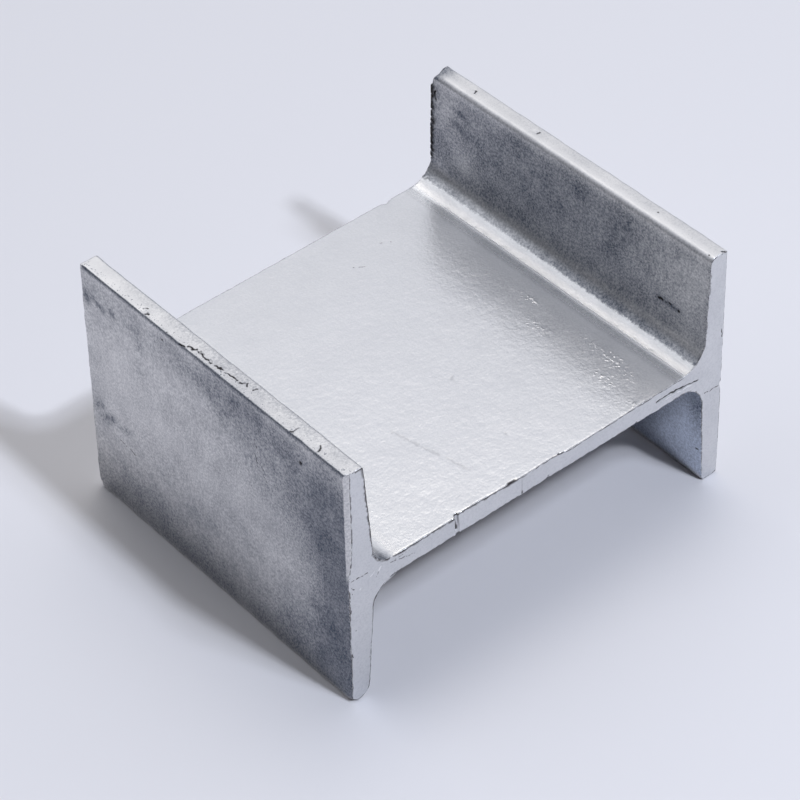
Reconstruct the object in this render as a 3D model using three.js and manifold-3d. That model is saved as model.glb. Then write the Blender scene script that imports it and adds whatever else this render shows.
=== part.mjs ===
// A short offcut of hot-rolled steel I-beam, lying with its web level on the toes of its two flanges.
// Millimetres, +Z up. X runs from flange to flange, Y along the rolling direction, and Z = 0 is the floor.
// The section is drawn once as a rounded outline and extruded along the beam. The saw then works on both
// ends: the near end was cut in two passes that meet at a groove in the web, the far end in one pass
// that ran a little out of square.
import * as THREE from "three";
import { mergeVertices } from "three/addons/utils/BufferGeometryUtils.js";
import Module from "manifold-3d";

// ---- The rolled section -------------------------------------------------------------------------
const depth = 100; // over the outer faces of the two flanges
const flangeWidth = 60.2; // from toe to toe of one flange
const webThickness = 4.7;
const webRise = 0.5; // how far the web's middle sits above the middle of the flanges
const toeThickness = 4.5; // the flange at its toes
const flangeTaper = 0.06; // gain in flange thickness per mm from the toe towards the web
const rootRadius = 5.8; // fillet between web and flange
const toeRadius = 1.2; // rolled rounding of the toe's inner edge
const wornToeRadius = 3.2; // the same edge on the left flange's lower toe, which rolled fuller
const arrisRadius = 0.4; // outer edges of the flanges

// ---- The cut piece ------------------------------------------------------------------------------
const length = 85.4; // along the beam, at its longest
const farCutSkew = 1.5; // how much shorter the left flange is than the right one
const passMeet = -22; // X of the line in the web where the two saw passes meet
const passStep = 0.5; // how much deeper the second pass cut there, fading out at the right flange
const grooveWidth = 1.4; // V groove left between the two passes
const grooveDepth = 0.8;

const over = 1; // how far a cutter runs past the metal it cuts
const arcSegments = 12; // facets of each rounded corner

// ---- Section outline ----------------------------------------------------------------------------

// A closed outline through the corners [x, z, radius], each rounded by an arc tangent to both sides.
function roundedOutline(corners) {
  const shape = new THREE.Shape();
  corners.forEach(([x, z, radius], i) => {
    const corner = new THREE.Vector2(x, z);
    const [px, pz] = corners.at(i - 1);
    const [nx, nz] = corners[(i + 1) % corners.length];
    const back = new THREE.Vector2(px, pz).sub(corner).normalize();
    const ahead = new THREE.Vector2(nx, nz).sub(corner).normalize();
    const half = Math.acos(back.dot(ahead)) / 2;
    const centre = back.clone().add(ahead).normalize();
    centre.multiplyScalar(radius / Math.sin(half)).add(corner);
    const start = back.clone().multiplyScalar(radius / Math.tan(half)).add(corner).sub(centre);
    const end = ahead.clone().multiplyScalar(radius / Math.tan(half)).add(corner).sub(centre);
    const clockwise = back.cross(ahead) > 0;
    shape.absarc(centre.x, centre.y, radius, start.angle(), end.angle(), clockwise);
  });
  shape.closePath();
  return shape;
}

// The I lying on its side: two upright flanges joined by a level web.
function sectionOutline() {
  const side = depth / 2;
  const webTop = flangeWidth / 2 + webRise + webThickness / 2;
  const webBottom = webTop - webThickness;
  const toe = side - toeThickness;
  const upperRoot = toe - flangeTaper * (flangeWidth - webTop);
  const lowerRoot = toe - flangeTaper * webBottom;
  return roundedOutline([
    [-side, 0, arrisRadius],
    [-toe, 0, wornToeRadius],
    [-lowerRoot, webBottom, rootRadius],
    [lowerRoot, webBottom, rootRadius],
    [toe, 0, toeRadius],
    [side, 0, arrisRadius],
    [side, flangeWidth, arrisRadius],
    [toe, flangeWidth, toeRadius],
    [upperRoot, webTop, rootRadius],
    [-upperRoot, webTop, rootRadius],
    [-toe, flangeWidth, toeRadius],
    [-side, flangeWidth, arrisRadius],
  ]);
}

// ---- Solids -------------------------------------------------------------------------------------

const wasm = await Module();
wasm.setup();

function toSolid(geometry) {
  const bare = geometry.clone();
  bare.deleteAttribute("normal");
  bare.deleteAttribute("uv");
  const merged = mergeVertices(bare, 1e-4);
  return new wasm.Manifold(new wasm.Mesh({
    numProp: 3,
    vertProperties: merged.attributes.position.array,
    triVerts: new Uint32Array(merged.index.array),
  }));
}

function toGeometry(solid) {
  const mesh = solid.getMesh();
  const geometry = new THREE.BufferGeometry();
  geometry.setAttribute("position", new THREE.BufferAttribute(mesh.vertProperties, 3));
  geometry.setIndex(new THREE.BufferAttribute(mesh.triVerts, 1));
  const facets = geometry.toNonIndexed();
  facets.computeVertexNormals();
  return facets;
}

// The section extruded along Y, from the near end to the far end.
function rolledBar() {
  const bar = new THREE.ExtrudeGeometry(sectionOutline(), {
    depth: length,
    bevelEnabled: false,
    curveSegments: arcSegments,
  });
  bar.translate(0, 0, -length / 2);
  bar.rotateX(Math.PI / 2);
  return bar;
}

// A cutter that takes a plan outline [x, y] right through the beam's height.
function planCutter(corners) {
  const cutter = new THREE.ExtrudeGeometry(
    new THREE.Shape(corners.map(([x, y]) => new THREE.Vector2(x, y))),
    { depth: flangeWidth + 2 * over, bevelEnabled: false },
  );
  cutter.translate(0, 0, -over);
  return toSolid(cutter);
}

// Far end: one pass, which leaves the left flange short by the skew.
function farCut() {
  const out = depth / 2 + over;
  const end = length / 2;
  const lost = (farCutSkew * (depth + over)) / depth;
  return planCutter([[-out, end - lost], [depth / 2, end], [depth / 2, end + over], [-out, end + over]]);
}

// Near end, second pass: deepest where it meets the first, and nothing at the right flange.
function secondPassCut() {
  const end = -length / 2;
  return planCutter([
    [passMeet, end - over],
    [depth / 2, end - over],
    [depth / 2, end],
    [passMeet, end + passStep],
  ]);
}

// The V left in the web between the two passes.
function meetingGroove() {
  const end = -length / 2;
  return planCutter([
    [passMeet - grooveWidth / 2, end - over],
    [passMeet + grooveWidth / 2, end - over],
    [passMeet + grooveWidth / 2, end + passStep / 2],
    [passMeet, end + passStep + grooveDepth],
    [passMeet - grooveWidth / 2, end],
  ]);
}

// ---- The piece ----------------------------------------------------------------------------------

const steel = new THREE.MeshStandardMaterial({ color: 0xb4b8c2, roughness: 0.42, metalness: 0.75 });

const sawn = [farCut(), secondPassCut(), meetingGroove()].reduce(
  (bar, cut) => bar.subtract(cut),
  toSolid(rolledBar()),
);
const beam = new THREE.Mesh(toGeometry(sawn), steel);
beam.name = "i_beam";

const group = new THREE.Group();
group.add(beam);

export default group;
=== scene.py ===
"""Looks of a short offcut of hot-rolled steel I-beam, coated in silver, lying with its web level.

The beam is one closed mesh: the rolled section carried along the beam, with a sawn face at each end.
Sizes are millimetres, X from flange to flange, Y along the beam, Z up, until the mesh is made in metres.
"""

import bmesh
import bpy
import numpy as np
from mathutils import Matrix, Vector


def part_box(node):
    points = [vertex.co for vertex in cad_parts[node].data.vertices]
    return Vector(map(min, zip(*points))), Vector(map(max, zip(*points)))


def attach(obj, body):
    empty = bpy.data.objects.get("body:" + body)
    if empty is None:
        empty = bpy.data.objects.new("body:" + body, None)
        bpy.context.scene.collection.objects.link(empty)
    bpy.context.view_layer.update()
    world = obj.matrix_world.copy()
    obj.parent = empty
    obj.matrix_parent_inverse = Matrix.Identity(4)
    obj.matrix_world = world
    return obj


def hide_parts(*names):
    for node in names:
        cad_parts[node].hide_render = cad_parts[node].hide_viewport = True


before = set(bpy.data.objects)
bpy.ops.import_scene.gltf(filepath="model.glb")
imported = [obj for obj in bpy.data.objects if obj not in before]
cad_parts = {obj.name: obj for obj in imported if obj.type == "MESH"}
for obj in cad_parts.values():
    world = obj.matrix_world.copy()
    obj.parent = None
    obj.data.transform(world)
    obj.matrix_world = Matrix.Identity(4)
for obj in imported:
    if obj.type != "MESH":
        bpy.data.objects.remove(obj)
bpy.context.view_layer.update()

MM = 0.001
LOW, HIGH = (np.array(corner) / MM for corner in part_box("i_beam"))

# ---- Sizes of the rolled section
HALF_DEPTH = (HIGH[0] - LOW[0]) / 2
FLANGE_WIDTH = HIGH[2] - LOW[2]
WEB_THICKNESS = 4.7
WEB_TOP = FLANGE_WIDTH / 2 + 0.5 + WEB_THICKNESS / 2
WEB_BOTTOM = WEB_TOP - WEB_THICKNESS
TOE = 4.5  # thickness of a flange at its toes
LEFT_LEAN, RIGHT_LEAN = 0.89, 0.54  # how far each flange's top leans in over the web
LEAN_SPAN = (30, 42)  # X between which that grows to full, on either side
ARRIS = 0.4  # radius of the outer edges
# For each inner face: what it gains in thickness per millimetre from toe to web, and its two radii.
TAPER = {"left low": 0.067, "right low": 0.050, "right high": 0.037, "left high": 0.079}
ROOT_RADIUS = {"left low": 6.2, "right low": 6.0, "right high": 6.3, "left high": 5.0}
TOE_RADIUS = {"left low": 3.2, "right low": 0.9, "right high": 1.2, "left high": 0.7}
# Unevenness of the rolled skin: wavelength, seed of the random draw, and most depth.
BROAD_RIPPLE = (15, 1, 0.03)
FINE_RIPPLE = (4.5, 2, 0.018)
TOE_RIPPLE = (5, 3, 0.10)
TOE_RIPPLE_SPAN = (1.6, 0.2)  # distances from the toe's face between which that one grows

# ---- Sizes of the cut piece
NEAR_END = LOW[1] + 0.5
FAR_END = HIGH[1] - 1.17
NEAR_SLOPE = (-0.0027, 0.0099)  # how far the near end is out of square, per millimetre of X and of Z
FAR_SLOPE = (0.015, -0.0082)
PASS_MEET = -22.1  # X of the groove where the two saw passes of the near end meet
GROOVE_WIDTH = 1.25
GROOVE_DEPTH = 0.6
GROOVE_FOOT = 0.4  # its depth at the web's bottom, as a share of that
# How far the upper edge of the near cut stands back from the lower one: (X, distance).
PASS_STEPS = (
    (-40, 0.05), (PASS_MEET - 0.9, 0.10), (PASS_MEET + 0.9, 0.62), (-18, 0.54), (-10, 0.25), (-4, 0.02),
    (3, 0.22), (7, -0.33), (16, -0.28), (24, -0.1), (34, 0.0),
)
EDGE_ROUND = 0.09  # depth of the round at each sawn edge
EDGE_REACH = 0.3  # how far along the beam it reaches
EDGE_RIPPLE = (2.5, 4)  # wavelength and seed of its unevenness
FILED_WIDTH = 1.0  # the strip filed off the near outer edge of the left flange, above the web
FILED_SPAN = (31, 42)  # heights between which it grows to full width
FILED_ROOM = 2.5  # how much of the section beside it closes up to make room

# ---- How the coat lies
SKIN, SAW_CUT = 0, 1  # the beam's two material slots
SILVER = (0.754, 0.744, 0.740, 1)
GLINT_SILVER = (0.95, 0.95, 0.96, 1)  # painted glints on the raised nicks in the sawn face
CREST_HIGHLIGHT_SILVER = (0.95, 0.94, 0.93, 1)  # painted highlight: paler silver over the upper part of the right fillet's bright strip
SILVER_IN_COLD_LIGHT = (0.745, 0.805, 0.915, 1)  # painted bluish fill light on the far flange's lower inner face, under the web
CUT_SILVER = (0.745, 0.75, 0.765, 1)
DARK_STEEL = (0.060, 0.080, 0.124, 1)
CRACK = (0.05, 0.045, 0.045, 1)
FLOOR_COLOUR, FLOOR_ROUGHNESS = (0.728, 0.714, 0.728, 1), 0.8

COAT_ROUGHNESS = 0.295
SATIN_ROUGHNESS, SATIN_METALLIC = 0.245, 0.68  # of the coat on the web
ROOT_REACH = 1.31  # height over the web up to which the right root is thickly coated
ROOT_START = (38.6, 39.8)  # X between which that thick coat starts
FILLET_HEIGHT = 6  # how far the fillets reach over the web
FILLET_COAT_END = 39.6  # X up to which the fillets are well coated
SATIN_END = 39.3  # X up to which they are as satin as the web
FOOT_HIGHLIGHT = (36.4, 38.3)  # X between which the web grows paler towards the right fillet, as a painted highlight
CREST_HIGHLIGHT_START = (0.3, 1.3)  # heights over the web between which the fillet's painted highlight grows
FILLET_STEEL = 0.05  # steel that shows on the well coated part of the fillets
MOST_STEEL = 0.78
FILED_STEEL, FILED_REACH = 0.22, 0.55  # of the filed strip, and how far along the beam it shows
FILED_START = (31, 36)  # heights between which that starts
CORNER_SHADE, CORNER_SHADE_REACH = 0.7, 4  # painted shade at the left fillet's near end, where it turns away from the light, and how far along
CORNER_SHADE_START = (-37.5, -41)  # X between which that painted shade starts
TOE_STEEL, TOE_MIDDLE = 0.07, 47  # more steel right of each top's middle, and its X
FLECK_START = (-46.8, -47.4)  # X between which the left flange's top starts to be flecked
RIGHT_FLECKS = 0.3  # how flecked the right one is
ROOT_COVER, ROOT_PEEL = 0.93, 2.6  # steel that the right root's thick coat hides, and its extra dimples
# The worn outer edge of the left flange's top, and painted shade along the round of its inner edge: (X, Z,
# radius, steel that shows, Y up to which it is worn).
WORN_AND_SHADED_EDGES = (
    (0.75 - HALF_DEPTH, FLANGE_WIDTH - 0.15, 0.5, 0.7, 40),
    # painted shade along the round of the inner edge
    (0.75 - HALF_DEPTH + TOE, FLANGE_WIDTH - 0.3, 0.45, 0.3, 99),
)

# For each stretch: the steel that shows through the coat, from 0 to 1, how dimpled the coat is, and the width
# of the dark line along the near end's outline, which is partly dark coat at the cut and partly painted shade
# at its rolled edges.
STRETCHES = {
    "left toe low": (0.25, 0.4, 0.2), "left inner low": (0.3, 0.5, 0.35), "web bottom": (0.25, 0.8, 0.2),
    "right inner low": (0.28, 0.5, 0.4), "right toe low": (0.25, 0.4, 0.15), "right outer": (0.35, 0.5, 0.15),
    "right toe high": (0.05, 0.8, 0.3), "right inner high": (0.65, 0.3, 0.4), "web top": (0.04, 1.9, 0.62),
    "left inner high": (0.15, 0.5, 0.6), "left toe high": (0.05, 0.7, 0.6), "left outer": (0.3, 0.9, 0.4),
}
COAT_THINNESS, COAT_PEEL, EDGE_LINES_AND_SHADE = (dict(zip(STRETCHES, row)) for row in zip(*STRETCHES.values()))
FAR_EDGE_LINE = 0.3  # width of that line round the far end
# Soft patches of thinner coat, and a few of painted shade or reflection: (centre, centre, radius, radius,
# tilt in degrees if any, amount). They are in Y and Z on a flange, in X and Y on the web. A negative amount
# is a thicker patch.
THIN_SPOTS = {
    "left outer": (
        (-38.2, 43, 8.5, 14, 0.6), (-39.6, 14, 8.8, 17, 0.62), (-26, 43, 8, 10, 20, 0.24),
        # (0, 2, 60, 5.5, 0.27) is painted shade: the dark band at the bottom, where the face mirrors the
        # floor's shadow.
        (24, 9, 32, 9, -14, 0.16), (0, 2, 60, 5.5, 0.27), (30, 40, 14, 12, -0.07), (-24, 9, 9, 8, 0.2),
        (-12, 46, 7, 6, 0.16), (-8, 56, 18, 5, 0.36), (-24, 53, 14, 6, -10, 0.12), (37, 54, 8, 8, 0.1),
        (20, 55, 9, 4, 0.1), (39.2, 52.6, 1.6, 0.9, 60, 0.5), (35.2, 53, 2.2, 0.7, 20, 0.5),
        (30.2, 53.4, 1, 0.6, 50, 0.4), (23.8, 53.7, 1.6, 1.2, 0.25), (22.5, 50.6, 1.4, 2, 0.25),
        (22.2, 43.7, 1.6, 1.8, 0.2), (38.1, 24.4, 2.2, 1, -35, 0.4), (35.9, 22.2, 2.4, 1, -35, 0.4),
        (33.4, 23.4, 1.4, 1.2, 0.35), (30, 22.7, 2.2, 0.7, -30, 0.3), (-3.4, 50, 0.9, 0.5, 60, 0.3),
        (-5.5, 51.5, 1, 0.5, 60, 0.3),
    ),
    "right inner high": (
        (0, 36.1, 70, 0.8, -0.2), (24, 34.8, 22, 1.3, -0.36), (-34, 36.1, 14, 0.5, -0.12),
        (-37, 49, 13, 13, -0.28), (5, 48, 24, 9, 0.08), (36.5, 54, 4.5, 5, -0.32),
        (32.7, 42.6, 3.5, 3.5, -0.2), (33.3, 54.6, 1.6, 0.8, 0.4), (34.2, 51, 1.6, 0.9, 0.35),
        (31.9, 49.9, 1.2, 0.7, 0.3), (-29, 42.4, 1.2, 0.7, 0.4), (-33, 42.3, 2.2, 0.6, 0.4),
    ),
    "right inner low": (
        # (-28, 12) darkens the face deeper under the web: painted shade.
        (-41.5, 22, 2.5, 8, 0.28), (-28, 12, 8, 9, 0.06), (-38, 9, 5, 5, -0.06),
    ),
    "right outer": (
        (-25, 45, 14, 8, 20, 0.25), (20, 12, 16, 7, -15, 0.3), (5, 33, 8, 9, -0.2), (34, 50, 6, 5, 0.3),
    ),
    "left toe high": ((-14, 60.2, 30, 9, 0.12), (40, 60.2, 14, 9, -0.1)),
    # Painted shade at the rounded far top corner of the right flange.
    "right toe high": ((41.5, 60.2, 2, 9, 0.45),),
    # Painted reflection: darkens the web's band beside the right flange, where it mirrors that flange.
    "web top": ((29.5, -14, 5, 34, 0.12),),
    "web bottom": ((15, 10, 14, 18, 0.2), (-20, -15, 12, 10, 0.2)),
}
# Where the coat ran and left lumps on the web: (X, Y, radius, radius, amount).
LUMPY_PATCHES = (
    (26.6, -31, 0.9, 1.2, 1), (25.9, -33.4, 0.7, 0.9, 0.7), (25.4, -41.2, 0.9, 0.7, 0.9),
    (31.9, -29, 1.2, 2.6, 1), (31, -34.2, 1.1, 2.2, 0.7), (32.3, -3, 0.9, 2.6, 0.8),
    (32, -22.5, 1.2, 4.5, 0.4), (27, -11, 1.6, 3, 0.35), (39, 28, 1, 3, 0.4),
)
LUMP_RISE, ROW_RISE = 0.08, 0.14  # of the drops there, and of those in a row along the right fillet
ROW_X, ROW_WIDTH = 41.8, 0.45


def level_marks(z, *rows):
    """Marks at one height, from rows of start X, start Y, end X, end Y, half width, wobble and depth."""
    return tuple(((x, y, z), (to_x, to_y, z), *rest) for x, y, to_x, to_y, *rest in rows)


def end_marks(y, *rows):
    """The same across the beam, with Z in place of Y."""
    return tuple(((x, y, z), (to_x, y, to_z), *rest) for x, z, to_x, to_z, *rest in rows)


def pit(x, y, z, half, depth):
    """A mark at one point, without a wobble."""
    return (x, y, z), (x, y, z), half, 0, depth


# ---- Marks: (start, end, half width, wobble, depth)
DARK_MARKS = (
    # lap line, nicks and cracks on the left flange's top
    *level_marks(
        60.2,
        (-48.5, 20.9, -48.2, 19.1, 0.36, 0.15, 0.25), (-47.8, 21.2, -47.2, 20.6, 0.24, 0.1, 0.12),
        (-48.8, 12.5, -48.9, 10.8, 0.32, 0.2, 0.15), (-49, 7.9, -48.6, 6.7, 0.33, 0.18, 0.15),
        (-48, 6.2, -48, 5, 0.31, 0.18, 0.12), (-48, 5, -47.3, 4.2, 0.32, 0.18, 0.12),
        (-47.4, 4, -47.9, 1, 0.34, 0.22, 0.15), (-47.9, 1, -47.7, -3, 0.35, 0.24, 0.15),
        (-47.4, -2.9, -47.2, -7.4, 0.36, 0.24, 0.15), (-47.7, -7.9, -47.3, -8.7, 0.31, 0.2, 0.12),
        (-47.3, -8.7, -46.7, -9.3, 0.32, 0.2, 0.12), (-46.3, -9.6, -46.9, -10.3, 0.32, 0.2, 0.12),
        (-46.7, -11.9, -46, -12.2, 0.28, 0.1, 0.08), (-48.7, -25.5, -48.3, -25.9, 0.28, 0.1, 0.1),
        (-48.3, -25.9, -47, -25.8, 0.24, 0.1, 0.1), (-49, -32.8, -48.3, -33.2, 0.26, 0.05, 0.1),
        (-48.3, -33.2, -47.4, -32.9, 0.3, 0.05, 0.1), (-47.4, -32.9, -46.9, -32.2, 0.26, 0.05, 0.1),
    ),
    # scratches and pits on the left flange's outer face
    pit(-49.2, -28.7, 54.6, 0.55, 0.3),
    ((-49.4, 41.7, 38.6), (-49.5, 41.7, 36.4), 0.42, 0.1, 0.1),
    ((-49.5, 41.7, 31.2), (-49.6, 41.7, 27.6), 0.4, 0.1, 0.1),
    pit(-49.2, 13.6, 57.6, 0.36, 0.1),
    ((-49.3, -14.6, 50.8), (-49.4, -17.8, 42.1), 0.16, 0.25, 0.05),
    ((-49.3, -13.6, 50.6), (-49.4, -15.6, 44), 0.13, 0.2, 0.04),
    ((-49.7, 32.5, 19), (-49.7, 25.7, 18.4), 0.2, 0.25, 0.05),
    # scratches on the web
    *level_marks(
        32.9,
        (20.8, 31.8, 23, 30.4, 0.12, 0.1, 0.04), (11, 29.4, 13.5, 27.7, 0.12, 0.1, 0.04),
        (26.6, -31.3, 26.5, -34.1, 0.2, 0.4, 0.06),
    ),
    # pits on the right flange's top, and a dark run and nicks on its inner face
    *level_marks(
        60.2, (47.8, 31.2, 47.2, 30.8, 0.35, 0.1, 0.15), (47.9, 11.3, 47.3, 11.6, 0.3, 0.1, 0.15),
        (47.6, -24.2, 47.6, -24.2, 0.28, 0, 0.1), (48.9, -41.9, 48.3, -41.7, 0.3, 0.15, 0.12),
    ),
    pit(45.7, -40.6, 60, 0.26, 0.08),
    ((44.4, -28.5, 42.3), (44.4, -29.6, 42.4), 0.46, 0.15, 0.08),
    pit(44.4, -30.6, 42.3, 0.26, 0.08),
    ((44.4, -31.6, 42.8), (44.4, -32, 42.5), 0.4, 0.1, 0.08),
    pit(44.4, -32.9, 42.2, 0.24, 0.08),
    pit(44.4, -34.4, 42.2, 0.52, 0.08),
    ((45, -41.6, 8.7), (45, -40.9, 8.5), 0.26, 0.1, 0.05),
    ((44, -38.6, 25.3), (44.1, -38.9, 24.6), 0.22, 0.2, 0.04),
    # burr along the far end of the same face
    ((44.85, 42, 57), (44.5, 42.05, 47), 0.85, 0.32, -0.4),
    ((44.5, 42.05, 47), (44.1, 42.1, 38.5), 0.8, 0.3, -0.35),
    ((44, 42.1, 38.5), (41.8, 42.15, 34.4), 0.65, 0.2, -0.2),
    ((44.7, 41.2, 56.8), (44.6, 40.9, 54), 0.5, 0.3, 0.05),
    # groove between the saw passes, painted dark as shade in its hollow, and chips and ticks along the near
    # end of the web
    ((-22.3, -41.7, 29.6), (-22.3, -41.7, 32.6), 0.55, 0.1, 0.2),
    ((-8.6, -42, 32.9), (-7.2, -42.05, 32.9), 0.65, 0.1, 0.12),
    ((4.3, -42.1, 32.9), (5.6, -42.3, 32.9), 0.26, 0.1, 0.08),
    *end_marks(-42.1, (-21.4, 31.9, -20.3, 32.9, 0.3, 0.1, 0.1), (-5.3, 28.5, -5.3, 29.1, 0.28, 0.05, 0.12)),
    *end_marks(-42.2, (1.7, 28.2, 1.7, 28.9, 0.25, 0.1, 0.1), (49.1, 39.9, 49.3, 37.8, 0.16, 0.1, 0.05)),
    # lap crack where the web runs into the right flange, and the line across that flange
    *end_marks(
        -42.3, (25, 28.3, 25.6, 28.6, 0.32, 0.1, 0.15), (31.2, 30.6, 35.5, 30.8, 0.3, 0.1, 0.18),
        (35.5, 30.8, 38.6, 30.4, 0.34, 0.12, 0.18), (38.6, 30.4, 42.9, 29.8, 0.24, 0.12, 0.12),
    ),
    *end_marks(-42.4, (45, 24.9, 49.4, 24.6, 0.17, 0.1, 0.05), (49.7, 25.4, 49.7, 23.8, 0.3, 0.1, 0.1)),
    # the same line at the left flange, and scratches beside and below it
    *end_marks(
        -42, (-49.1, 32.9, -43.9, 32.6, 0.15, 0.15, 0.06), (-48.6, 31, -48.4, 29.5, 0.2, 0.3, 0.1),
        (-42.5, 30.1, -42, 31.4, 0.15, 0.3, 0.08),
    ),
    *end_marks(
        -42.1, (-39.2, 31.7, -33, 30.2, 0.12, 0.1, 0.04), (-38, 31.7, -33.5, 31.9, 0.1, 0.1, 0.04),
        (-49.2, 25.4, -49.2, 24.6, 0.2, 0.1, 0.1), (-48.2, 19.3, -48.2, 19.3, 0.2, 0, 0.1),
    ),
    *end_marks(-42.2, (-49.2, 14.7, -49.2, 12.5, 0.2, 0.2, 0.1), (-45.1, 9.9, -45.1, 9.9, 0.2, 0, 0.1)),
)
# Two soft folds and two dimples on the web, and the lower part of a tick on the near end.
FAINT_MARKS = (
    ((-16, -15.4, 32.9), (-13.4, -26.5, 32.9), 0.45, 0.2, 0.013),
    ((-12.9, -28.5, 32.9), (-11.7, -33.9, 32.9), 0.45, 0.2, 0.013),
    ((3.3, -11.4, 32.9), (3.9, -11, 32.9), 0.5, 0.2, 0.05),
    ((0.7, -30.7, 32.9), (0.7, -30.7, 32.9), 0.5, 0.2, 0.04),
    ((-5.3, -42.05, 32), (-5.3, -42.15, 28.6), 0.18, 0.05, 0.04),
)
# Raised nicks where the web's cut runs into the flanges, painted bright as glints.
GLINTS = end_marks(
    -42, (-44, 31.3, -43.2, 31.9, 0.22, 0.1, -0.06), (-42, 31.6, -41.4, 32.3, 0.25, 0.1, -0.06),
    (-46.8, 29.5, -46.5, 29.8, 0.2, 0.1, -0.06),
) + end_marks(-42.3, (33.5, 30, 41, 29.6, 0.18, 0.15, -0.08))
# Small dents: (centre, radius, push).
DENTS = (
    ((-50, 42, 0), 2.4, (0.5, -0.4, 0.8)),  # chipped foot of the left flange, far end
    ((-50, -42.4, 0), 1.6, (0.2, 0.3, 0.5)),
    ((-49.4, -28.5, 60.2), 2.6, (0.35, 0, -0.25)),  # bruised top edge of the left flange
    ((-49.3, -32.4, 60.2), 1.6, (0.25, 0, -0.35)),
    ((-49.4, -25.6, 60.2), 1.2, (0.15, 0, -0.25)),
    ((-48.4, 20.2, 60.2), 1.3, (0.1, 0, -0.3)),
    ((-49.3, 11.2, 60.2), 1.3, (0.25, 0, -0.2)),
    ((-49.3, 2, 60.2), 1.4, (0.2, 0, -0.1)),
    ((-49.4, 38, 60.2), 1.3, (0.2, 0, -0.15)),
    ((47.3, 11.4, 60.2), 0.9, (0, 0, -0.22)),
    ((46, 42, 59.8), 2.2, (0.1, -0.3, -0.45)),  # far top corner of the right flange
    ((-20.9, -42.3, 33), 0.8, (0, 0.2, -0.3)),  # corner of the groove
    ((1.7, -42.3, 28.2), 0.8, (0, 0.2, 0.3)),
    ((49.9, -42.4, 24.8), 1, (-0.35, 0.1, 0)),
    ((31, 42, 33), 1.4, (0, -0.3, -0.3)),
    ((-12, 42, 33), 1.1, (0, -0.3, -0.3)),
    ((-50, 42.4, 38), 1.6, (0.3, -0.2, 0)),
    ((-50, 42.4, 30.5), 1.9, (0.35, -0.2, 0)),
)

# ---- Studio and camera
# Lamps: (name, direction, distance and size in metres, level, colour).
LAMPS = (
    ("top_softbox", (13, 21, 60), 3, 1.6, 0.165, (1.055, 1, 0.915)),
    ("front_lamp", (7.6, -44, 60), 1.87, 0.105, 0.285, (0.935, 1, 1.14)),
    ("front_fill", (11, -37, 60), 1.87, 0.2, 0.205, (0.92, 1, 1.18)),
)
STUDIO_LEVEL = 0.02
STUDIO_TINT = (0.95, 0.99, 1.085, 1)
# Soft glows in the studio: (azimuth from +Y towards +X, elevation, half angle, strength).
STUDIO_GLOWS = (
    (14, 10, 32, 0.5), (328, 46, 27, 0.95), (40, 43, 30, 0.35), (52, 66, 24, 0.36), (75, 34, 30, 0.22),
    (115, 18, 44, 0.3),
)
GLOW_EDGE, GLOW_FULL = 1.45, 0.25  # where a glow ends and is at its full, as shares of its half angle
CAMERA_AZIMUTH, CAMERA_ELEVATION, CAMERA_ROLL = -39.52, 42.02, -1.49
CAMERA_AIM = (-0.00077, 0.0003, 0.02184)  # in metres, as the distance is
CAMERA_DISTANCE = 0.61482
FOCAL_LENGTH, SENSOR_WIDTH = 133.73, 36

# ---- Facets
TOE_STEPS = 16
ROOT_STEPS = 14
ARC_STEPS = {"arris": 3, "toe": 5, "root": ROOT_STEPS}
WEB_STEPS = (20, 14, 72)  # across the web: left of the groove, at it, and right of it
GROOVE_MARGIN = 1.5  # how far the steps at the groove reach to each side
WEB_ROWS = np.array([0, 0.05, 0.13, 0.26, 0.42, 0.58, 0.74, 0.87, 0.95, 1])
LOWER_STEPS = 22
UPPER_STEPS = 34
MIDDLE_STATIONS = 48
END_STATIONS = np.array([0, 0.12, 0.28, 0.48, 0.75, 1.1, 1.5, 2])  # in from each sawn end
MARK_MARGIN, FINE_MARGIN = 0.6, 0.1  # how far round a mark the first and the second finer cut reach
FINE_WIDTH = 0.6  # marks of less than this half width get the second cut
LUMPY = 0.48  # how lumpy a place is to get the first cut
MERGED = 1e-6  # points this close, in metres, become one
SHARP_ANGLE = 40  # edges that turn more than this are sharp


def normalised(vector):
    return vector / np.linalg.norm(vector, axis=-1, keepdims=True)


def between(start, stop, steps):
    """Points that divide the straight line from start to stop into equal steps."""
    return np.linspace(start, stop, steps + 1)


def smooth_step(low, high, value):
    """0 below low, 1 above high, and the cubic 3t^2 - 2t^3 between them."""
    t = np.clip((value - low) / (high - low), 0, 1)
    return t * t * (3 - 2 * t)


def rounded_corner(before, corner, after, radius, steps):
    """Arc tangent to both sides of a corner: its centre lies on the bisector, radius / sin(half the angle)
    away, and it sweeps between the tangent points, radius / tan(half the angle) along each side."""
    before, corner, after = np.array(before), np.array(corner), np.array(after)
    back, ahead = normalised(before - corner), normalised(after - corner)
    half = np.arccos(back @ ahead) / 2
    centre = corner + normalised(back + ahead) * radius / np.sin(half)
    start = corner + back * radius / np.tan(half) - centre
    end = corner + ahead * radius / np.tan(half) - centre
    first, last = np.arctan2(start[1], start[0]), np.arctan2(end[1], end[0])
    sweep = (last - first + np.pi) % (2 * np.pi) - np.pi
    angle = first + sweep * np.linspace(0, 1, steps + 1)
    return centre + radius * np.column_stack([np.cos(angle), np.sin(angle)])


def chain(*pieces):
    """One run of points through pieces that start where the one before ends."""
    return np.vstack([pieces[0]] + [piece[1:] for piece in pieces[1:]])


def across_web(start, stop, z):
    """Points across the web at one height, closer where the two saw passes meet."""
    ends = [start, PASS_MEET - GROOVE_MARGIN, PASS_MEET + GROOVE_MARGIN, stop]
    x = chain(*(between([ends[i]], [ends[i + 1]], steps) for i, steps in enumerate(WEB_STEPS)))
    return np.column_stack([x, np.full(len(x), z)])


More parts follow.
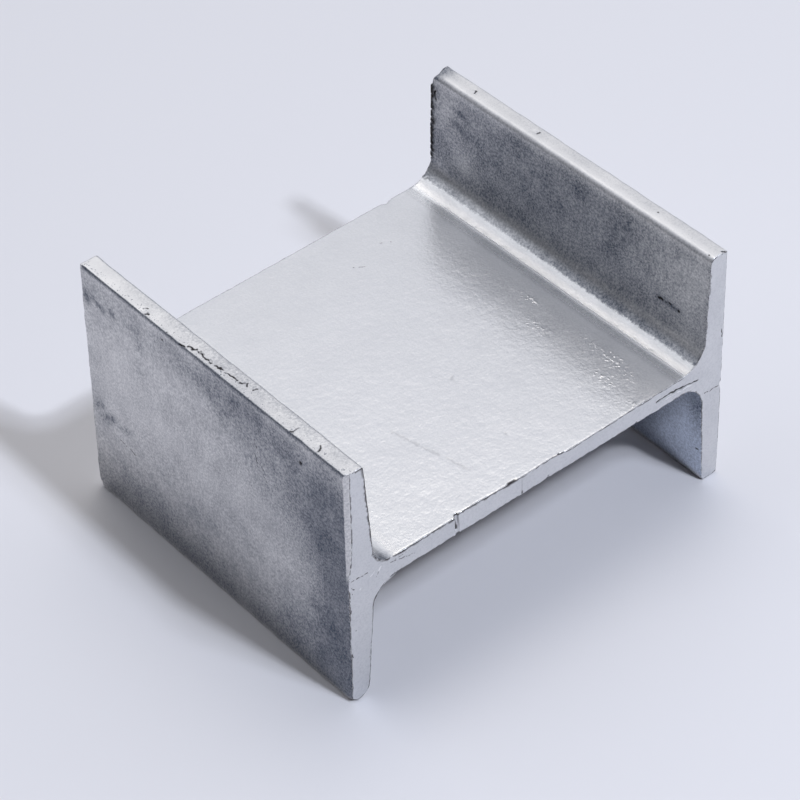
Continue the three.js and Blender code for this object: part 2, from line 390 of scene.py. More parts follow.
def section_stretches():
    """The section's outline in X and Z, anticlockwise, as named stretches that share their end points."""
    side, top = HALF_DEPTH, FLANGE_WIDTH
    inner = side - TOE

    def corners(name, half):
        """Arris, toe and root of the lower or upper half of one flange: X, Z and radius of each."""
        out = -1 if name == "left" else 1
        z, web = (0, WEB_BOTTOM) if half == "low" else (top, WEB_TOP)
        which = f"{name} {half}"
        return [
            (f"{name} arris {half}", (out * side, z, ARRIS)),
            (f"{name} toe {half}", (out * inner, z, TOE_RADIUS[which])),
            (f"{name} root {half}", (out * (inner - TAPER[which] * abs(web - z)), web, ROOT_RADIUS[which])),
        ]

    lower = corners("left", "low") + corners("right", "low")[::-1]
    corner = dict(lower + corners("right", "high") + corners("left", "high")[::-1])
    names = list(corner)
    arc = {}
    for i, name in enumerate(names):
        before, after = corner[names[i - 1]], corner[names[(i + 1) % len(names)]]
        x, z, radius = corner[name]
        arc[name] = rounded_corner(before[:2], (x, z), after[:2], radius, ARC_STEPS[name.split()[1]])
    flat = TOE_STEPS - ARC_STEPS["arris"] - ARC_STEPS["toe"]

    def toe(first, second):
        return chain(arc[first], between(arc[first][-1], arc[second][0], flat), arc[second])

    def inner_face(first, second, steps):
        """From one arc's end to the next arc's start, with whichever of the two is the root."""
        line = between(arc[first][-1], arc[second][0], steps)
        return chain(line, arc[second]) if "root" in second else chain(arc[first], line)

    def outer_face(x, name, first, last):
        """Upwards, divided as the inner face opposite is. First and last are the nearest arris points."""
        low, high = arc[name + " arris low"][first][1], arc[name + " arris high"][last][1]
        below, above = arc[name + " root low"][:, 1].min(), arc[name + " root high"][:, 1].max()
        web = WEB_BOTTOM + WEB_THICKNESS * WEB_ROWS[:, None]
        height = chain(
            between([low], [below], LOWER_STEPS), between([below], [WEB_BOTTOM], ROOT_STEPS), web,
            between([WEB_TOP], [above], ROOT_STEPS), between([above], [high], UPPER_STEPS))
        return np.column_stack([np.full(len(height), x), height])

    return {
        "left toe low": toe("left arris low", "left toe low"),
        "left inner low": inner_face("left toe low", "left root low", LOWER_STEPS),
        "web bottom": across_web(arc["left root low"][-1][0], arc["right root low"][0][0], WEB_BOTTOM),
        "right inner low": inner_face("right root low", "right toe low", LOWER_STEPS),
        "right toe low": toe("right toe low", "right arris low"),
        "right outer": outer_face(side, "right", -1, 0),
        "right toe high": toe("right arris high", "right toe high"),
        "right inner high": inner_face("right toe high", "right root high", UPPER_STEPS),
        "web top": across_web(arc["left root high"][0][0], arc["right root high"][-1][0], WEB_TOP)[::-1],
        "left inner high": inner_face("left root high", "left toe high", UPPER_STEPS),
        "left toe high": toe("left toe high", "left arris high"),
        "left outer": outer_face(-side, "left", 0, -1)[::-1],
    }


def ripples(points, wavelength, seed, waves=36):
    """Smooth unevenness of about unit height: a sum of plane waves with random headings and phases, each
    0.7 to 1.6 wavelengths long."""
    rng = np.random.default_rng(seed)
    heading = normalised(rng.normal(size=(waves, 3)))
    length = wavelength * rng.uniform(0.7, 1.6, (waves, 1))
    phase = rng.uniform(0, 2 * np.pi, waves)
    return np.cos(points @ (2 * np.pi * heading / length).T + phase).sum(-1) / np.sqrt(waves / 2)


def near_face(x, z):
    """Y of the near end's face. The lower edge of the cut is straight. The upper edge follows the two passes:
    it steps back where they meet, comes level 18 mm on, then stands proud towards the right flange."""
    reach, step = np.transpose(PASS_STEPS)
    height = np.clip((z - WEB_BOTTOM) / WEB_THICKNESS, 0, 1)
    between_flanges = np.abs(x) < 42
    near_web = np.abs(z - WEB_TOP) < 8
    walls = smooth_step(1, 0.6, np.abs(x - PASS_MEET) / (GROOVE_WIDTH / 2))
    groove = near_web * walls * (GROOVE_FOOT + (1 - GROOVE_FOOT) * height)
    skew = NEAR_SLOPE[0] * x + NEAR_SLOPE[1] * (z - FLANGE_WIDTH / 2)
    return NEAR_END + skew + height * between_flanges * np.interp(x, reach, step) + GROOVE_DEPTH * groove


def far_face(x, z):
    """Y of the far end's face: one plane, out of square with the beam."""
    return FAR_END + FAR_SLOPE[0] * x + FAR_SLOPE[1] * (z - FLANGE_WIDTH / 2)


def coons(bottom, top, left, right, v):
    """Patch between four edges: bottom and top run along u, left and right along v. Each point is the blend
    of the two across plus the blend of the two along, less the blend of the four corners."""
    u = np.linspace(0, 1, len(bottom))[None, :, None]
    v = v[:, None, None]
    across = (1 - v) * bottom[None] + v * top[None]
    along = (1 - u) * left[:, None] + u * right[:, None]
    corners = ((1 - u) * (1 - v) * bottom[0] + u * (1 - v) * bottom[-1]
               + (1 - u) * v * top[0] + u * v * top[-1])
    return across + along - corners


def grid_faces(rows, columns, first, flip=False):
    """Quads of a grid of points numbered row by row from first."""
    index = first + np.arange(rows * columns).reshape(rows, columns)
    quads = np.stack([index[:-1, :-1], index[:-1, 1:], index[1:, 1:], index[1:, :-1]], -1).reshape(-1, 4)
    return quads[:, ::-1] if flip else quads


def stations(length):
    """Distances from the near end, for a beam this long: close at both sawn ends, even between them."""
    middle = between([END_STATIONS[-1]], [length - END_STATIONS[-1]], MIDDLE_STATIONS)
    return chain(END_STATIONS[:, None], middle, length - END_STATIONS[::-1, None])[:, 0]


def sunk(points, wavelength, seed, most):
    """Depth between 0 and the most given, rippling from place to place."""
    return most * (1 + np.clip(ripples(points, wavelength, seed), -1, 1)) / 2


def rolled_skin(stretches):
    """The outline carried along the beam: grid[j, i] is station j of outline point i. The skin sinks along
    its normal by ripples, and by a small round at each sawn edge that goes as one minus distance, squared."""
    outline = np.vstack([points[:-1] for points in stretches.values()])
    tangent = np.roll(outline, -1, 0) - np.roll(outline, 1, 0)
    outward = normalised(np.column_stack([tangent[:, 1], -tangent[:, 0]]))
    x, z = outline.T
    near, far = near_face(x, z), far_face(x, z)
    t = stations(FAR_END - NEAR_END)[:, None] / (FAR_END - NEAR_END)
    y = (1 - t) * near + t * far
    x, z = (np.broadcast_to(c, y.shape) for c in (x, z))
    lean = np.where(x < 0, LEFT_LEAN, -RIGHT_LEAN) * smooth_step(*LEAN_SPAN, np.abs(x))
    grid = np.stack([x + lean * z / FLANGE_WIDTH, y, z], -1)
    normal = np.stack([outward[:, 0], np.zeros(len(outline)), outward[:, 1]], -1)[None]
    toe = smooth_step(*TOE_RIPPLE_SPAN, np.minimum(z, FLANGE_WIDTH - z))
    sink = sunk(grid, *BROAD_RIPPLE) + sunk(grid, *FINE_RIPPLE) + toe * sunk(grid, *TOE_RIPPLE)
    from_end = np.minimum(y - near, far - y)
    edge = EDGE_ROUND * (1 + 0.6 * np.clip(ripples(grid, *EDGE_RIPPLE), -1, 1))
    sink += edge * np.clip(1 - from_end / EDGE_REACH, 0, 1) ** 2
    grid = grid - normal * sink[..., None]
    return filed_edge(grid, y - near)


def filed_edge(grid, from_near):
    """The left flange's near outer edge is filed off above the web: X moves in by the strip's width at the
    end, falling to nothing half a width along, and the section beside it closes up to make room."""
    x, z = grid[..., 0], grid[..., 2]
    width = FILED_WIDTH * smooth_step(*FILED_SPAN, z)
    strip = width * np.clip(1 - from_near / (0.5 * FILED_WIDTH), 0, 1)
    face = -HALF_DEPTH + LEFT_LEAN * z / FLANGE_WIDTH
    inside = np.clip((x - face) / FILED_ROOM, 0, 1)
    grid[..., 0] = x + strip * (1 - inside) * (inside < 1)
    return grid


def dented(points):
    """Each dent moves points by its push, times the square of one minus the square of the distance over its
    radius."""
    moved = points.copy()
    for centre, radius, push in DENTS:
        near = np.clip(1 - ((points - centre) ** 2).sum(-1) / radius ** 2, 0, 1) ** 2
        moved += near[..., None] * np.array(push)
    return moved


def sawn_face(ring, stretches, face_y):
    """The I-shaped end: each flange and the web is a patch between its edges, at the cut's Y."""
    edge, first = {}, 0
    for name, points in stretches.items():
        edge[name] = ring[np.arange(first, first + len(points)) % len(ring)]
        first += len(points) - 1

    def join(low, high):
        line = low + WEB_ROWS[:, None] * (high - low)
        line[1:-1, 1] = face_y(line[1:-1, 0], line[1:-1, 2])
        return line

    left_join = join(edge["left inner low"][-1], edge["left inner high"][0])
    right_join = join(edge["right inner low"][0], edge["right inner high"][-1])
    side = chain(edge["left inner low"], left_join, edge["left inner high"])
    even = np.linspace(0, 1, len(side))
    patches = (
        coons(edge["left toe low"], edge["left toe high"][::-1], edge["left outer"][::-1], side, even),
        coons(edge["web bottom"], edge["web top"][::-1], left_join, right_join, WEB_ROWS),
        coons(edge["right toe low"], edge["right toe high"][::-1],
              chain(edge["right inner low"][::-1], right_join, edge["right inner high"][::-1]),
              edge["right outer"], even),
    )
    for patch in patches:
        inside = patch[1:-1, 1:-1]
        inside[..., 1] = face_y(inside[..., 0], inside[..., 2])
    return patches


def from_outline(patch, ring):
    """For each point of a sawn face, the distance in X and Z to the nearest outline point, and its number."""
    gap = np.linalg.norm(patch[..., None, [0, 2]] - ring[:, [0, 2]], axis=-1)
    return gap.min(-1), gap.argmin(-1)


def soft_spots(spots, u, v):
    """Sum of soft round patches: each is its amount times e to the minus squared distance from its centre,
    with the distance measured in its own two radii along axes turned by its tilt, in degrees."""
    total = np.zeros(u.shape)
    for centre_u, centre_v, radius_u, radius_v, *tilt, amount in spots:
        turn = np.radians(sum(tilt))
        along = (u - centre_u) * np.cos(turn) + (v - centre_v) * np.sin(turn)
        across = (v - centre_v) * np.cos(turn) - (u - centre_u) * np.sin(turn)
        total += amount * np.exp(-(along / radius_u) ** 2 - (across / radius_v) ** 2)
    return total


def by_stretch(owner, values, spread=3):
    """A value for each outline point by its stretch, averaged with its neighbours on either side."""
    plain = np.array([values[name] for name in owner], float)
    return sum(np.roll(plain, shift) for shift in range(-spread, spread + 1)) / (2 * spread + 1)


def outline_owner(stretches):
    """The name of the stretch that each outline point belongs to."""
    return np.concatenate([[name] * (len(points) - 1) for name, points in stretches.items()])


def skin_finish(grid, owner):
    """How the coat lies on the rolled skin, as values for each point. Rise is the height over the web near
    the right root, and rim the distance to a sawn edge."""
    x, y, z = np.moveaxis(grid, -1, 0)
    everywhere = np.zeros(y.shape)
    from_near = y - near_face(x, z)
    on_web = (owner == "web top")
    inner_high = np.char.endswith(owner, "inner high")
    fillet = inner_high & (z < WEB_TOP + FILLET_HEIGHT)
    toe = np.char.endswith(owner, "toe high") + everywhere
    filed = (owner == "left outer") * smooth_step(*FILED_START, z)

    thin = by_stretch(owner, COAT_THINNESS) + everywhere
    for name, spots in THIN_SPOTS.items():
        u, v = (x, y) if name.startswith("web") else (y, z)
        thin += (owner == name) * soft_spots(spots, u, v)
    thin = np.where(fillet & (x < FILLET_COAT_END), FILLET_STEEL, thin)
    # Painted shade in the near corner of the left fillet, laid on as more steel showing.
    left_corner_shade = smooth_step(CORNER_SHADE_REACH, 0, from_near) * smooth_step(*CORNER_SHADE_START, x)
    right_half = smooth_step(-0.5, 0.7, x - TOE_MIDDLE * np.sign(x))
    thin += CORNER_SHADE * fillet * left_corner_shade
    thin += TOE_STEEL * toe * right_half
    # The worn outer edge, and painted shade on the inner edge's round, of the left flange's top.
    for edge_x, edge_z, radius, steel, reach in WORN_AND_SHADED_EDGES:
        worn = (np.hypot(x - edge_x, z - edge_z) < radius) & (y < reach)
        thin = np.where(worn, np.maximum(thin, steel), thin)
    strip = filed * (from_near < FILED_REACH)
    thin = thin * (1 - strip) + FILED_STEEL * strip

    satin = by_stretch(owner, {name: name == "web top" for name in STRETCHES}) + everywhere
    # Painted highlight: the web near the right fillet, and the fillet's bright strip, made paler.
    foot = (fillet | on_web) * smooth_step(*FOOT_HIGHLIGHT, x)
    crest_highlight = fillet * smooth_step(*CREST_HIGHLIGHT_START, z - WEB_TOP)
    rise = z - WEB_TOP + 3 - 3 * smooth_step(*ROOT_START, x)
    return {
        "thin_coat": np.clip(thin, 0, MOST_STEEL),
        "peel": by_stretch(owner, COAT_PEEL, 8) + everywhere,
        "fleck": (owner == "left toe high") * smooth_step(*FLECK_START, x)
                 + RIGHT_FLECKS * (owner == "right toe high"),
        "rise": np.where((inner_high | on_web) & (x > 0), rise, 9),
        "lump": np.clip(soft_spots(LUMPY_PATCHES, x, y), 0, 1) * on_web,
        "toe": toe,
        "satin": np.where(fillet & (x < SATIN_END), 1, satin),
        "crest_highlight": np.where(x < SATIN_END, foot, crest_highlight),
        # Painted light: the bluish fill under the web, on the far flange's lower inner face.
        "cold_light": (owner == "right inner low") + everywhere,
        "rim": np.minimum(from_near + filed, far_face(x, z) - y),
        "line": everywhere,
    }


def cut_finish(patch, ring, owner, near):
    """A sawn face: its distance to the outline, and how wide the dark line along that outline is: partly dark
    coat at the cut, partly painted shade at the rolled edge. On the near end the line is fainter along the
    web's upper edge, from the middle to the right."""
    rim, nearest = from_outline(patch, ring)
    values = EDGE_LINES_AND_SHADE if near else dict.fromkeys(STRETCHES, FAR_EDGE_LINE)
    line = by_stretch(owner, values)[nearest]
    x, _, z = np.moveaxis(patch, -1, 0)
    line *= 1 - 0.45 * smooth_step(-8, -3, x) * (np.abs(z - WEB_TOP) < 3) * near
    skin_only = ("thin_coat", "peel", "fleck", "rise", "lump", "toe", "satin", "crest_highlight", "cold_light")
    return dict.fromkeys(skin_only, np.zeros(rim.shape)) | {"rim": rim, "line": line}


def place_points(mesh, points, attributes):
    """Sets a mesh's points, in millimetres, and their values in each attribute."""
    mesh.vertices.foreach_set("co", (points * MM).astype(np.float32).ravel())
    for name, values in attributes.items():
        mesh.attributes.new(name, "FLOAT", "POINT").data.foreach_set("value", values.astype(np.float32))
    mesh.update()


def mesh_object(name, points, faces, attributes):
    """An object of these quads."""
    mesh = bpy.data.meshes.new(name)
    mesh.vertices.add(len(points))
    mesh.loops.add(faces.size)
    mesh.loops.foreach_set("vertex_index", faces.astype(np.int32).ravel())
    mesh.polygons.add(len(faces))
    mesh.polygons.foreach_set("loop_start", np.arange(0, faces.size, 4, dtype=np.int32))
    mesh.update(calc_edges=True)
    mesh.validate()
    place_points(mesh, points, attributes)
    piece = bpy.data.objects.new(name, mesh)
    bpy.context.scene.collection.objects.link(piece)
    return piece


def merge_doubles(piece):
    """Closes the mesh where the skin meets itself and the sawn faces."""
    work = bmesh.new()
    work.from_mesh(piece.data)
    bmesh.ops.remove_doubles(work, verts=work.verts, dist=MERGED)
    work.to_mesh(piece.data)
    work.free()


def from_mark(points, start, end):
    """Distance of each point from the straight line between start and end."""
    start, span = np.array(start), np.subtract(end, start)
    share = np.clip((points - start) @ span / max(span @ span, 1e-9), 0, 1)
    return np.linalg.norm(points - start - share[:, None] * span, axis=-1)


def wandering(points, size, seed):
    """A vector for each point that wanders smoothly, about as long as 1."""
    return np.stack([ripples(points, size, seed + k, 16) for k in range(3)], -1) / np.sqrt(3)


def mark_depths(points, marks):
    """How strongly each point is marked, from 0 to 1, and how deep. A mark's line wavers by its wobble, and
    it fades from full at a third of its half width to nothing at its half width."""
    field = wandering(points, 1.1, 20)
    strength, depth = np.zeros(len(points)), np.zeros(len(points))
    for start, end, half, wobble, deep in marks:
        gap = from_mark(points + wobble * field, start, end)
        here = smooth_step(half, half / 3, gap)
        strength = np.maximum(strength, here)
        depth = np.where(np.abs(here * deep) > np.abs(depth), here * deep, depth)
    return strength, depth


def near_marks(points, marks, margin):
    """True for each point within any mark's half width, wobble and margin of it."""
    near = [from_mark(points, start, end) < half + wobble + margin for start, end, half, wobble, _ in marks]
    return np.any(near, axis=0)


def mesh_vectors(collection, name):
    values = np.empty(len(collection) * 3, np.float32)
    collection.foreach_get(name, values)
    return values.reshape(-1, 3)


def refine(piece, chosen, cuts):
    """Cuts each edge of the faces that chosen picks, from their centres in millimetres, into cuts + 1."""
    picked = np.flatnonzero(chosen(mesh_vectors(piece.data.polygons, "center") / MM))
    work = bmesh.new()
    work.from_mesh(piece.data)
    work.faces.ensure_lookup_table()
    edges = list(dict.fromkeys(edge for i in picked for edge in work.faces[i].edges))
    bmesh.ops.subdivide_edges(work, edges=edges, cuts=cuts, use_grid_fill=True)
    work.to_mesh(piece.data)
    work.free()


def lump_area(points):
    """How lumpy the coat on the web is at each point."""
    x, y, z = points.T
    on_web = (np.abs(z - WEB_TOP) < 0.3) & (np.abs(x) < 38)
    return soft_spots(LUMPY_PATCHES, x, y) * on_web


def lump_height(points):
    """Drops of a random pattern: in the lumpy patches of the web, and in a row along the right fillet."""
    x, _, z = points.T
    drops = smooth_step(0.1, 1.8, ripples(points, 1.0, 31, 60))
    row_drops = smooth_step(0.6, 1.9, ripples(points, 1.1, 32, 60))
    row = np.exp(-((x - ROW_X) / ROW_WIDTH) ** 2) * (np.abs(z - WEB_TOP - 1) < 1)
    return LUMP_RISE * drops * np.clip(lump_area(points), 0, 1) + ROW_RISE * row_drops * row


def work_marks(piece):
    """Cuts the mesh finer at the marks and lumps, then sinks the marks and raises the lumps."""
    marks = DARK_MARKS + FAINT_MARKS + GLINTS
    refine(piece, lambda at: near_marks(at, marks, MARK_MARGIN) | (lump_area(at) > LUMPY), 2)
    fine = [mark for mark in DARK_MARKS + GLINTS if mark[2] < FINE_WIDTH]
    refine(piece, lambda at: near_marks(at, fine, FINE_MARGIN), 2)
    points = mesh_vectors(piece.data.vertices, "co").astype(float) / MM
    normal = mesh_vectors(piece.data.vertices, "normal").astype(float)
    dark, sink = mark_depths(points, DARK_MARKS)
    faint, shallow = mark_depths(points, FAINT_MARKS)
    bright, raised = mark_depths(points, GLINTS)
    moved = points - normal * (sink + shallow + raised - lump_height(points))[:, None]
    shown = {"dark_mark": np.maximum(dark, 0.2 * faint), "glint_mark": bright}
    place_points(piece.data, np.clip(moved, LOW, HIGH), shown)


def make_beam():
    """The skin and the six patches of the two sawn faces, joined to one closed mesh, then marked."""
    stretches = section_stretches()
    owner = outline_owner(stretches)
    skin = rolled_skin(stretches)
    closed = np.concatenate([skin, skin[:, :1]], 1)
    pieces = [(closed, skin_finish(closed, np.append(owner, owner[0])), True, SKIN)]
    for ring, face_y, near in ((skin[0], near_face, True), (skin[-1], far_face, False)):
        for patch in sawn_face(ring, stretches, face_y):
            pieces.append((patch, cut_finish(patch, ring, owner, near), not near, SAW_CUT))
    points, faces, slots, finish, count = [], [], [], {}, 0
    for grid, values, flip, slot in pieces:
        rows, columns = grid.shape[:2]
        points.append(grid.reshape(-1, 3))
        faces.append(grid_faces(rows, columns, count, flip))
        slots.append(np.full(len(faces[-1]), slot))
        for key, value in values.items():
            finish.setdefault(key, []).append(np.ravel(value))
        count += rows * columns
    finish = {key: np.concatenate(value) for key, value in finish.items()}
    beam = mesh_object("rolled_beam", dented(np.vstack(points)), np.vstack(faces), finish)
    beam.data.polygons.foreach_set("material_index", np.concatenate(slots).astype(np.int32))
    merge_doubles(beam)
    work_marks(beam)
    beam.data.shade_smooth()
    beam.data.set_sharp_from_angle(angle=np.radians(SHARP_ANGLE))
    return beam


class Shading:
    """A node tree, with short calls that add a node and link its inputs."""

    def __init__(self, tree):
        self.tree = tree

    def add(self, kind, inputs=None, **settings):
        node = self.tree.nodes.new("ShaderNode" + kind)
        for key, value in settings.items():
            setattr(node, key, value)
        for key, value in (inputs or {}).items():
            if isinstance(value, bpy.types.NodeSocket):
                self.tree.links.new(value, node.inputs[key])
            else:
                node.inputs[key].default_value = value
        return node

    def math(self, operation, *values, clamp=False):
        return self.add("Math", dict(enumerate(values)), operation=operation, use_clamp=clamp).outputs[0]

    def times(self, value, factor):
        return self.math("MULTIPLY", value, factor)

    def times_plus(self, value, factor, more, clamp=False):
        return self.math("MULTIPLY_ADD", value, factor, more, clamp=clamp)

    def vector(self, operation, *values, out="Vector", **inputs):
        return self.add("VectorMath", dict(enumerate(values)) | inputs, operation=operation).outputs[out]

    def ramp(self, value, low, high, bottom=0.0, top=1.0, smooth=False):
        """bottom below low, top above high, and a straight or smooth change between them."""
        inputs = {"Value": value, "From Min": low, "From Max": high, "To Min": bottom, "To Max": top}
        kind = "SMOOTHSTEP" if smooth else "LINEAR"
        return self.add("MapRange", inputs, interpolation_type=kind).outputs["Result"]

    def noise(self, place, size, detail=2.0, rough=0.5, out="Fac"):
        """Noise whose waves are about this many millimetres long, with the place in millimetres."""
        inputs = {"Vector": place, "Scale": 1 / size, "Detail": detail, "Roughness": rough}
        return self.add("TexNoise", inputs).outputs[out]

    def mix(self, amount, first, second):
        return self.add("Mix", {0: amount, 6: first, 7: second}, data_type="RGBA").outputs[2]

    def group(self, name, inputs):
        return self.add("Group", inputs, node_tree=bpy.data.node_groups[name]).outputs

    def value(self, name):
        return self.add("Attribute", attribute_name=name).outputs["Fac"]


def shader_group(name, inputs, outputs):
    """An empty node group with these sockets: its nodes, its inputs and a call that sets an output."""
    tree = bpy.data.node_groups.new(name, "ShaderNodeTree")
    for way, sockets in (("INPUT", inputs), ("OUTPUT", outputs)):
        for label, kind in sockets.items():
            tree.interface.new_socket(label, in_out=way, socket_type="NodeSocket" + kind)
    source, sink = tree.nodes.new("NodeGroupInput"), tree.nodes.new("NodeGroupOutput")
    return Shading(tree), source.outputs, lambda label, socket: tree.links.new(socket, sink.inputs[label])


def make_coat_grain():
    """The coat's own unevenness: fine salt and pepper, soft mottling, and streaks drawn out along a line."""
    inputs = {"Place": "Vector", "Streak Turn": "Vector"}
    outputs = dict.fromkeys(("Speckle", "Mottle", "Streak"), "Float")
    nodes, given, give = shader_group("coat_grain", inputs, outputs)
    place = given["Place"]
    stretch = {"Vector": place, "Rotation": given["Streak Turn"], "Scale": (1, 1, 0.16)}
    drawn = nodes.add("Mapping", stretch).outputs[0]
    for name, at, size, detail, rough, low in (
            ("Speckle", place, 0.5, 3, 0.75, 0.36), ("Mottle", place, 7, 3, 0.58, 0.3),
            ("Streak", drawn, 1.3, 2, 0.6, 0.32)):
        give(name, nodes.ramp(nodes.noise(at, size, detail, rough), low, 1 - low))


def make_hammered_skin():
    """Height of a dipped coat, in millimetres: a fine grain, a peel of dimples, and drops where it ran."""
    inputs = {"Place": "Vector", "Peel": "Float", "Lumps": "Float"}
    nodes, given, give = shader_group("hammered_skin", inputs, {"Height": "Float"})
    grain = nodes.noise(given["Place"], 0.55, 1.5, 0.6)
    dimple = nodes.noise(given["Place"], 1.5, 1.0, 0.5)
    relief = nodes.times_plus(grain, 0.012, nodes.times(dimple, 0.022))
    relief = nodes.times(relief, given["Peel"])
    drops = nodes.ramp(nodes.noise(given["Place"], 0.8, 1.0, 0.5), 0.5, 0.74, 0.0, 0.11, smooth=True)
    relief = nodes.times_plus(drops, given["Lumps"], relief)
    give("Height", nodes.times_plus(grain, 0.006, relief))


def new_material(name):
    """A material and its shader."""
    material = bpy.data.materials.new(name)
    material.use_nodes = True
    return material, material.node_tree.nodes["Principled BSDF"]


def coat_material(name):
    """A new metal: its material, nodes and shader, and the place on the beam in millimetres."""
    material, shader = new_material(name)
    nodes = Shading(material.node_tree)
    shader.inputs["Metallic"].default_value = 1
    here = nodes.add("TexCoord").outputs["Object"]
    place = nodes.vector("SCALE", here, Scale=1 / MM)
    return material, nodes, shader, place


def silver_skin():
    """The coated rolled skin: silver, with the dark steel showing as speckle where the coat is thin. Root is
    the thick coat along the right root, with a ragged upper edge."""
    material, nodes, shader, place = coat_material("silver_skin")
    thin = nodes.value("thin_coat")
    grain = nodes.group("coat_grain", {"Place": place, "Streak Turn": (np.radians(27), 0, 0)})
    ragged = nodes.times_plus(nodes.noise(place, 0.9, 3.0, 0.7), 0.7, nodes.value("rise"))
    root = nodes.ramp(ragged, ROOT_REACH + 0.4, ROOT_REACH, smooth=True)
    thin = nodes.times(thin, nodes.times_plus(root, -ROOT_COVER, 1.0))
    uneven = nodes.times_plus(grain["Speckle"], 0.56, -0.28)
    for value, amount in ((grain["Mottle"], 0.26), (grain["Streak"], 0.07)):
        uneven = nodes.times_plus(nodes.math("SUBTRACT", value, 0.5), amount, uneven)
    room = nodes.times(thin, nodes.math("SUBTRACT", 1.0, thin))
    room = nodes.times(room, 3.2)
    dark = nodes.times_plus(uneven, room, thin)
    fleck = nodes.times(nodes.ramp(grain["Speckle"], 0.2, 0.0), nodes.value("fleck"))
    dark = nodes.times_plus(fleck, 0.6, dark, clamp=True)
    # Dark speckled band within 0.3 mm of each sawn edge: partly dark coat at the cut, partly painted shade at
    # the rounded edge.
    rim = nodes.ramp(nodes.value("rim"), 0.3, 0.0)
    rim = nodes.times(rim, nodes.ramp(grain["Speckle"], 0.3, 0.7, 0.0, 0.5))
    mark = nodes.math("MAXIMUM", nodes.value("dark_mark"), rim)

    satin = nodes.value("satin")
    # Painted highlight: paler silver over the right fillet's bright strip and the web beside it.
    crest_highlight = nodes.times(nodes.math("MAXIMUM", root, satin), nodes.value("crest_highlight"))
    # Painted light: bluish silver where the fill under the web falls.
    coat = nodes.mix(nodes.value("cold_light"), SILVER, SILVER_IN_COLD_LIGHT)
    coat = nodes.mix(crest_highlight, coat, CREST_HIGHLIGHT_SILVER)
    colour = nodes.mix(mark, nodes.mix(dark, coat, DARK_STEEL), CRACK)

    rough = COAT_ROUGHNESS
    toe = nodes.value("toe")
    for value, amount in ((dark, 0.29), (mark, 0.2), (toe, 0.23), (root, 0.13), (grain["Mottle"], 0.05)):
        rough = nodes.times_plus(value, amount, rough)
    rough = nodes.times_plus(satin, nodes.math("SUBTRACT", SATIN_ROUGHNESS, rough), rough)
    metal = nodes.times_plus(satin, SATIN_METALLIC - 1, 1.0)
    peel = nodes.times_plus(root, ROOT_PEEL, nodes.value("peel"))
    inputs = {"Place": place, "Peel": peel, "Lumps": nodes.value("lump")}
    height = nodes.group("hammered_skin", inputs)["Height"]
    finish_coat(nodes, shader, colour, rough, height)
    nodes.tree.links.new(metal, shader.inputs["Metallic"])
    return material


def silver_saw_cut():
    """The coated sawn ends: flatter and greyer, with a dark line along parts of the outline, partly dark coat
    and partly painted shade at the edges.
    """
    material, nodes, shader, place = coat_material("silver_saw_cut")
    grain = nodes.group("coat_grain", {"Place": place, "Streak Turn": (0, 0, 0)})
    width = nodes.value("line")
    patchy = nodes.noise(place, 1.6, 2.0, 0.6)
    width = nodes.times(width, nodes.ramp(patchy, 0.38, 0.58, 0.5, 1.15))
    inner = nodes.times(width, 0.3)
    # The dark line along the outline: partly dark coat, partly painted shade at the rolled edge.
    outline = nodes.ramp(nodes.value("rim"), width, inner, 0.0, 0.92)
    mark = nodes.math("MAXIMUM", outline, nodes.value("dark_mark"))
    dark = nodes.times(nodes.ramp(grain["Speckle"], 0.35, 1.0), 0.10)
    dark = nodes.times_plus(grain["Mottle"], 0.06, dark)
    colour = nodes.mix(mark, nodes.mix(dark, CUT_SILVER, DARK_STEEL), CRACK)
    # Painted glints on the raised nicks.
    colour = nodes.mix(nodes.value("glint_mark"), colour, GLINT_SILVER)
    rough = nodes.times_plus(grain["Mottle"], 0.08, 0.45)
    height = nodes.times(nodes.noise(place, 0.7, 3.0, 0.6), 0.012)
    finish_coat(nodes, shader, colour, rough, height)
    return material


def finish_coat(nodes, shader, colour, rough, height):
    """Links a coat's colour, roughness and height in millimetres to its shader."""
    bump = nodes.add("Bump", {"Height": height, "Distance": MM, "Strength": 1.0}).outputs["Normal"]
    for socket, value in (("Base Color", colour), ("Roughness", rough), ("Normal", bump)):
        nodes.tree.links.new(value, shader.inputs[socket])


def make_floor():
    bpy.ops.mesh.primitive_plane_add(size=3, location=(0, 0, 0))
    floor = bpy.context.object
    floor.name = "floor"
    material, shader = new_material("pale_floor")
    shader.inputs["Base Color"].default_value = FLOOR_COLOUR
    shader.inputs["Roughness"].default_value = FLOOR_ROUGHNESS
    floor.data.materials.append(material)


def direction(azimuth, elevation):
    """The unit vector at these angles in degrees, from +Y towards +X and then up."""
    azimuth, elevation = np.radians([azimuth, elevation])
    return np.sin(azimuth) * np.cos(elevation), np.cos(azimuth) * np.cos(elevation), np.sin(elevation)


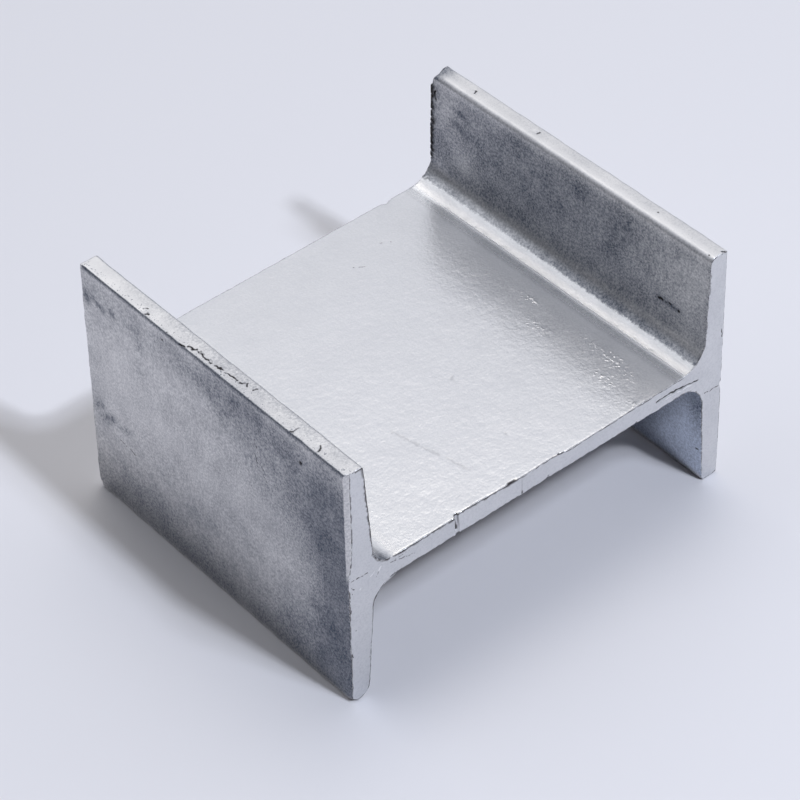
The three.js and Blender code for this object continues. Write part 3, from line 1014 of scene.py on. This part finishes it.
def area_light(name, heading, distance, size, level, colour):
    """A square lamp that faces the beam. A white floor under it would show this level."""
    towards = Vector(heading).normalized()
    light = bpy.data.lights.new(name, "AREA")
    light.size = size
    light.energy = level * np.pi ** 2 * distance ** 2 / towards.z
    light.color = colour
    lamp = bpy.data.objects.new(name, light)
    bpy.context.scene.collection.objects.link(lamp)
    lamp.location = towards * distance
    lamp.rotation_euler = (-towards).to_track_quat("-Z", "Y").to_euler()


def make_lights():
    """Soft boxes over the beam, and a studio round it that is darker on the left."""
    for lamp in LAMPS:
        area_light(*lamp)
    world = bpy.data.worlds.new("studio")
    world.use_nodes = True
    nodes = Shading(world.node_tree)
    heading = nodes.add("TexCoord").outputs["Generated"]
    level = None
    for azimuth, elevation, half_angle, strength in STUDIO_GLOWS:
        facing = nodes.vector("DOT_PRODUCT", heading, direction(azimuth, elevation), out="Value")
        edge, full = np.cos(np.radians([half_angle * GLOW_EDGE, half_angle * GLOW_FULL]))
        glow = nodes.ramp(facing, edge, full, 0.0, strength, smooth=True)
        level = glow if level is None else nodes.math("ADD", level, glow)
    level = nodes.math("ADD", level, STUDIO_LEVEL)
    background = world.node_tree.nodes["Background"]
    background.inputs["Color"].default_value = STUDIO_TINT
    nodes.tree.links.new(level, background.inputs["Strength"])
    bpy.context.scene.world = world


def make_camera():
    """Camera on the sphere round the aim point, at the azimuth and elevation given, turned by the roll."""
    azimuth, roll = np.radians([CAMERA_AZIMUTH, CAMERA_ROLL])
    back = Vector(direction(CAMERA_AZIMUTH, CAMERA_ELEVATION)) * Vector((1, -1, 1))
    level = Vector((np.cos(azimuth), np.sin(azimuth), 0))
    right = level * np.cos(roll) + back.cross(level) * np.sin(roll)
    up = back.cross(right)
    data = bpy.data.cameras.new("camera")
    data.lens, data.sensor_width = FOCAL_LENGTH, SENSOR_WIDTH
    camera = bpy.data.objects.new("camera", data)
    bpy.context.scene.collection.objects.link(camera)
    turned = Matrix((right, up, back)).transposed().to_4x4()
    camera.matrix_world = Matrix.Translation(Vector(CAMERA_AIM) + back * CAMERA_DISTANCE) @ turned
    bpy.context.scene.camera = camera


make_coat_grain()
make_hammered_skin()
beam = make_beam()
beam.data.materials.append(silver_skin())
beam.data.materials.append(silver_saw_cut())
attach(beam, "root")
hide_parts("i_beam")
make_floor()
make_lights()
make_camera()
bpy.context.scene.view_settings.view_transform = "Standard"
